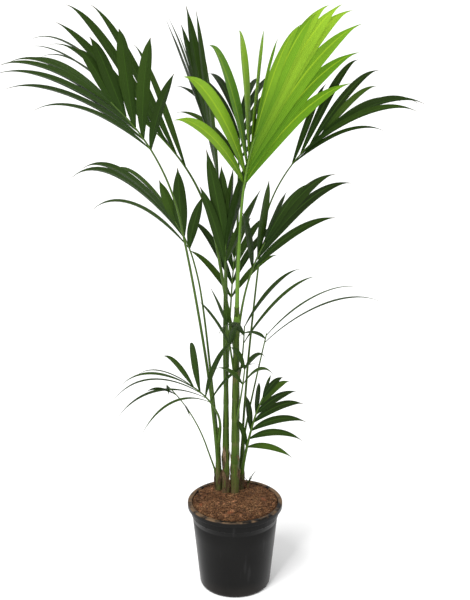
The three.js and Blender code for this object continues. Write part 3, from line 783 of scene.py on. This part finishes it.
def build_fibres(finish):
    """Coir: thin bent threads lying over each other."""
    shell = Shell()
    for spot in scattered(FIBRES, 3):
        reach = rng.uniform(*FIBRE_REACH)
        direction = heading(rng.uniform(76, 96), rng.uniform(0, 360))
        bend = heading(90, rng.uniform(0, 360)) * (reach * rng.uniform(0.05, 0.4))
        middle = spot + UP * rng.uniform(0.8, 3.2)
        half = direction * reach / 2
        points = [middle - half - bend, middle + bend, middle + half - bend]
        for point in points:
            room = soil_edge() - 1 - math.hypot(point.x, point.y)
            if room < 0:
                point += Vector((-point.x, -point.y, 0)).normalized() * -room
            point.z = max(point.z, rough_soil(point.x, point.y) + 0.3)
        thick = rng.uniform(*FIBRE_THICKNESS)
        shares = [0, 0.25, 0.5, 0.75, 1]
        tube(shell, Curve(points), lambda t, _: thick * (1 - 0.5 * t), 4, shares, shade=rng.random())
    hand_over(shell.build("coir_fibres", [finish]), "bark")


def build_crumbs(finish):
    """Small faceted scraps of bark and peat."""
    shell = Shell()
    for spot in scattered(CRUMBS, 5):
        size = rng.uniform(*CRUMB_SIZE) * (BIG_CRUMB if rng.random() < BIG_CRUMB_SHARE else 1)
        turn = Matrix.Rotation(rng.uniform(0, 6.3), 3, "Z")
        shape = turn @ Matrix.Rotation(rng.uniform(-0.5, 0.5), 3, "X")
        sizes = Vector((size * rng.uniform(1, 2), size, size * rng.uniform(0.35, 0.7)))
        rings = []
        for level, girth in ((-1, 0), (-0.5, 0.85), (0.45, 0.9), (1, 0)):
            ring = []
            for k in range(6 if girth else 1):
                angle = math.pi * k / 3 + rng.uniform(-0.3, 0.3)
                reach = girth * rng.uniform(0.8, 1.15)
                corner = Vector((reach * math.cos(angle), reach * math.sin(angle), level))
                ring.append(spot + UP * (sizes.z * 0.7) + shape @ (corner * sizes))
            rings.append(ring)
        shell.skin(rings, [{"shade": rng.random()}] * len(rings))
    hand_over(shell.build("soil_crumbs", [finish], smooth=False), "soil")


def build_chip(index, finish):
    """A bark chip: the CAD chip's own shape, split into fibrous layers."""
    node = frame["nodes"][f"bark_chip_{index}"]
    low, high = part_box(node.name)
    centre = (low + high) / 2
    shade = rng.random()
    bm = bmesh.new()
    bm.from_mesh(node.data)
    bmesh.ops.remove_doubles(bm, verts=bm.verts, dist=1e-5)
    bmesh.ops.triangulate(bm, faces=bm.faces)
    bmesh.ops.subdivide_edges(bm, edges=bm.edges, cuts=CHIP_CUTS, use_grid_fill=True)
    for vert in bm.verts:
        out = vert.co - centre
        layer = math.sin(out.z / (high.z - low.z) * 22 + 3 * noise.noise(vert.co * 160))
        rough = noise.fractal(vert.co * 260, 0.8, 2, 4)
        vert.co = centre + out * (0.93 + 0.05 * layer + 0.05 * rough)
    mesh = bpy.data.meshes.new(node.name)
    bm.to_mesh(mesh)
    bm.free()
    tones = mesh.attributes.new("shade", "FLOAT", "POINT")
    tones.data.foreach_set("value", [shade] * len(mesh.vertices))
    mesh.materials.append(finish)
    mesh.shade_smooth()
    mesh.set_sharp_from_angle(angle=math.radians(SHARP_BARK))
    hand_over(piece_of(f"chip_{index}", mesh), "bark", node.name)


# ---- Stems ----
def sheath(height):
    """How far a stem stands out at a height: each old sheath thins upwards and ends in a ring scar."""
    share = (height / SHEATH_PITCH) % 1
    return 1.06 - 0.09 * share, 1.0 if share > SHEATH_SCAR else 0.0


def build_stem(stem, growth, finish, blade_finish):
    """A stem from inside the root ball to its tip. The sprout is a plain one with three small blades."""
    points = stem_points(stem, growth)
    foot = points[0] - UP * STEM_BURY
    curve = Curve([foot] + points)
    length = curve.reach[-1]
    slim = stem["name"] == "sprout"
    count = SPROUT_RINGS if slim else int(length / STEM_RING_GAP)
    phase = rng.uniform(0, SHEATH_PITCH)
    shell = Shell()
    rings, values = [], []
    for t, centre, across, up in carried_frames(curve, [i / count for i in range(count + 1)]):
        stand, scar = (1, 0) if slim else sheath(t * length + phase)
        radius = stem["foot"] * between(stem["taper"], t) * stand
        radii = []
        for k in range(STEM_ROUND):
            turn = 2 * math.pi * k / STEM_ROUND
            fluting = 0.03 * math.sin(5 * turn + phase) + 0.02 * math.sin(11 * turn + 4 * t)
            radii.append(radius * (1 + fluting))
        rings.append(circle(centre, across, up, radii))
        values.append({"shade": scar, "along": t})
    rings.append([curve.at(1) + curve.tangent(1) * stem["foot"] * 0.3])
    values.append({"along": 1})
    shell.skin(rings, values)
    if slim:
        base = curve.at(0.8)
        for bearing, reach in SPROUT_BLADES:
            tip = base + heading(34, bearing) * reach
            leaf = dict(root=base, base=base, tip=tip, along=curve.tangent(0.8), arch=0.1,
                        width=SPROUT_BLADE_WIDTH, face=heading(60, bearing + 180), lap=0)
            leaflet(shell, leaf, finish=1)
    hand_over(shell.build(stem["name"] + "_cane", [finish, blade_finish]), "stem", stem["name"])


def build_sheaths(growth, finish):
    """Dry brown sheath fibre that peels off the stems above the soil."""
    shell = Shell()
    for stem in STEMS[:-1]:  # all but the sprout
        curve = Curve(stem_points(stem, growth))
        for _ in range(SHREDS):
            t = rng.uniform(0.01, 0.22)
            out = heading(90, rng.uniform(150, 390))
            radius = stem["foot"] * between(stem["taper"], t)
            base = curve.at(t) + out * (radius * 0.9)
            reach = rng.uniform(*SHRED_REACH)
            tip = base + UP * reach + out * rng.uniform(1, 5)
            leaf = dict(root=base, base=base, tip=tip, along=UP, arch=0,
                        width=rng.uniform(*SHRED_WIDTH), face=out, lap=rng.uniform(-12, 12))
            leaflet(shell, leaf, finish=0)
    hand_over(shell.build("sheath_fibre", [finish]), "bark")


# ---- Fronds ----
def leaflet(shell, leaf, finish):
    """A leaflet: a thin blade folded along its midrib, which twists a little and thins to a long tip."""
    tip = leaf["tip"]
    chord = tip - leaf["base"]
    reach = chord.length
    side = turned(leaf["face"].cross(chord).normalized(), chord.normalized(), leaf["lap"])
    early = leaf["base"] + chord * 0.3 + leaf["along"] * (0.08 * reach) + UP * (leaf["arch"] * reach)
    late = leaf["base"] + chord * 0.75 + UP * (1.5 * leaf["arch"] * reach)
    twist, phase = rng.uniform(-LEAF_TWIST, LEAF_TWIST), rng.uniform(0, 6.3)
    shade = rng.random()
    round_blade = LEAF_ACROSS + LEAF_ACROSS[-2:0:-1]
    inside = len(LEAF_ACROSS) - 2
    under = [0.5] + [0] * inside + [0.5] + [1] * inside
    rings, values = [], []
    for i in range(LEAF_STATIONS):
        t = i / LEAF_STATIONS
        back = 1 - t
        place = leaf["root"] * back**3 + early * (3 * back**2 * t) + late * (3 * back * t**2) + tip * t**3
        tangent = (early - leaf["root"]) * back**2 + (late - early) * (2 * back * t) + (tip - late) * t**2
        tangent.normalize()
        over = turned(side, tangent, twist * t)
        down = over.cross(tangent).normalized()
        half = leaf["width"] * smooth_between(LEAF_OUTLINE, t) / 2
        top, bottom = [], []
        for across in LEAF_ACROSS:
            fold = LEAF_FOLD * half * (1 - abs(across)) * min(1, 0.4 + t)
            wave = 0.05 * half * across**2 * math.sin(9 * t + phase + across)
            point = place + over * (across * half) + down * (fold + wave)
            top.append(point)
            thick = LEAF_THICKNESS * (1 - across**2) + (0.8 * back if across == 0 else 0)
            bottom.append(point + down * thick)
        rings.append(top + bottom[-2:0:-1])
        values.append({"along": t, "across": round_blade, "shade": shade, "under": under})
    rings.append([tip])
    values.append({"along": 1, "shade": shade})
    shell.skin(rings, values, finish, creases=(0, len(LEAF_ACROSS) - 1))


def build_frond(frond, growth, leaf_finish, stalk_finish, slot):
    """A frond in one mesh: its stalk, which flares where it leaves the stem, and its leaflets."""
    shell = Shell()
    curve = frond_curve(frond, growth)
    length = curve.reach[-1]

    def radius(t, turn):
        flare = 1 + 0.75 * math.exp(-t * length / 24)
        channel = 1 - 0.12 * max(0, math.cos(turn)) ** 3
        return between(frond["radius"], t) * flare * channel

    shares = [i / STALK_RINGS for i in range(STALK_RINGS + 1)]
    tube(shell, curve, radius, STALK_ROUND, shares, finish=1)
    for leaf in sway_leaflets(frond, leaflets_of(frond, growth)):
        leaf["width"] *= 1 if slot == "young_leaf" else LEAF_SLENDER
        leaf["arch"] += rng.uniform(*ARCH_CHANGE)
        leaflet(shell, leaf, finish=0)
    piece = shell.build(frond["name"] + "_leaf", [leaf_finish, stalk_finish])
    hand_over(piece, slot, frond["name"])


# ---- Stage ----
# Metres and degrees.
FLOOR_CORNERS = [(-40, -20, 0), (40, -20, 0), (40, 80, 0), (-40, 80, 0)]
FLOOR_GREY = (0.93, 0.93, 0.93, 1)
SKY_STRENGTH = 0.78
KEY_STRENGTH, KEY_SPREAD, KEY_TURN = 2.5, 28, (32, -26, 0)
STRIPS = [("strip_left", -0.95, 24), ("strip_right", 0.75, 20)]  # name, place along X and power
STRIP_SIZE = (0.15, 1.7)
CAMERA_PLACE = (0, -2.8, 1.7)
CAMERA_DIP = 18.45
CAMERA_LENS = 73.8


def build_stage():
    """The floor, a white sky, a soft sun and the two softboxes that streak the pot."""
    floor_mesh = bpy.data.meshes.new("floor")
    floor_mesh.from_pydata(FLOOR_CORNERS, [], [(0, 1, 2, 3)])
    floor = piece_of("floor", floor_mesh)
    paint = bpy.data.materials.new("floor_paint")
    paint.use_nodes = True
    shader = paint.node_tree.nodes["Principled BSDF"]
    shader.inputs["Base Color"].default_value = FLOOR_GREY
    shader.inputs["Roughness"].default_value = 0.9
    floor_mesh.materials.append(paint)

    scene = bpy.context.scene
    scene.world = bpy.data.worlds.new("studio")
    scene.world.use_nodes = True
    background = scene.world.node_tree.nodes["Background"]
    background.inputs["Color"].default_value = (1, 1, 1, 1)
    background.inputs["Strength"].default_value = SKY_STRENGTH
    scene.view_settings.view_transform = "Standard"

    add_sun("key", KEY_STRENGTH, KEY_SPREAD, KEY_TURN)
    for name, x, power in STRIPS:
        add_strip(name, Vector((x, -2.6, 1.1)), Vector((0, 0, 0.5)), power)


def add_sun(name, strength, spread, turn):
    lamp = bpy.data.lights.new(name, "SUN")
    lamp.energy = strength
    lamp.angle = math.radians(spread)
    sun = bpy.data.objects.new(name, lamp)
    sun.rotation_euler = [math.radians(a) for a in turn]
    bpy.context.scene.collection.objects.link(sun)


def add_strip(name, place, target, power):
    """A tall narrow softbox that faces a point."""
    lamp = bpy.data.lights.new(name, "AREA")
    lamp.shape = "RECTANGLE"
    lamp.size, lamp.size_y = STRIP_SIZE
    lamp.energy = power
    strip = bpy.data.objects.new(name, lamp)
    strip.location = place
    strip.rotation_euler = (target - place).to_track_quat("-Z", "Y").to_euler()
    bpy.context.scene.collection.objects.link(strip)


def build_camera():
    lens = bpy.data.cameras.new("camera")
    lens.lens = CAMERA_LENS
    lens.sensor_width = 36
    lens.clip_end = 200
    camera = bpy.data.objects.new("camera", lens)
    camera.location = CAMERA_PLACE
    camera.rotation_euler = (math.radians(90 - CAMERA_DIP), 0, 0)
    bpy.context.scene.collection.objects.link(camera)
    bpy.context.scene.camera = camera


def main():
    build_camera()
    build_stage()
    highest = max(leaf["tip"].z for frond in FRONDS for leaf in leaflets_of(frond, 1))
    growth = PLANT_HEIGHT / (highest - SOIL_TOP)

    build_pot(pot_material())
    build_root_ball(soil_material())
    coir = litter_material("coir", shaded("bark", 0.3), shaded("bark", 1.7, 1.7, 1.6),
                           shaded("bark", 3.6, 4.8, 5.4))
    bark = litter_material("bark", shaded("bark", 0.3), shaded("bark", 0.9), shaded("bark", 2.2, 1.2, 0.9))
    peat = litter_material("peat", shaded("soil", 0.12), shaded("soil", 1.1, 1.1, 1),
                           shaded("soil", 4.4, 4.4, 4.6))
    husk = litter_material("husk", shaded("bark", 0.2, 0.3, 0.3), shaded("bark", 0.6, 0.9, 1),
                           shaded("bark", 1.5, 2.4, 3))
    build_fibres(coir)
    build_crumbs(peat)
    for index in range(1, CHIP_COUNT + 1):
        build_chip(index, bark)

    # each leaf finish's last three colours run from a near-black green, painted shade, to a lit green,
    # painted light
    leaf = leaf_material("leaf", shaded("leaf", 0.95, 0.7, 0.5), 0.85,
                         shaded("leaf", 0.12, 0.11, 0.05), shaded("leaf", 0.5, 0.4, 0.16),
                         shaded("leaf", 1.7, 1.1, 0.5))
    # the young leaflets are a paler yellow-green, brightened further as painted light for the glow of
    # light through them
    young_leaf = leaf_material("young_leaf", shaded("young_leaf", 0.45, 0.55, 0.3), 0.3,
                               shaded("young_leaf", 0.25, 0.4, 0.15), shaded("young_leaf", 0.6, 0.68, 0.4),
                               shaded("young_leaf", 1.2, 1.05, 0.8))
    stalk = stalk_material("stalk", shaded("stem", 0.25), shaded("stem", 1.0, 0.95, 0.7))
    young_stalk = stalk_material("young_stalk", shaded("stem", 0.8), shaded("young_leaf", 0.6, 0.6, 0.8))
    stem = stem_material()
    for each in STEMS:
        build_stem(each, growth, stem, leaf)
    build_sheaths(growth, husk)
    for frond in FRONDS:
        if frond["name"] == "frond_bright":
            build_frond(frond, growth, young_leaf, young_stalk, "young_leaf")
        else:
            build_frond(frond, growth, leaf, stalk, "leaf")


main()
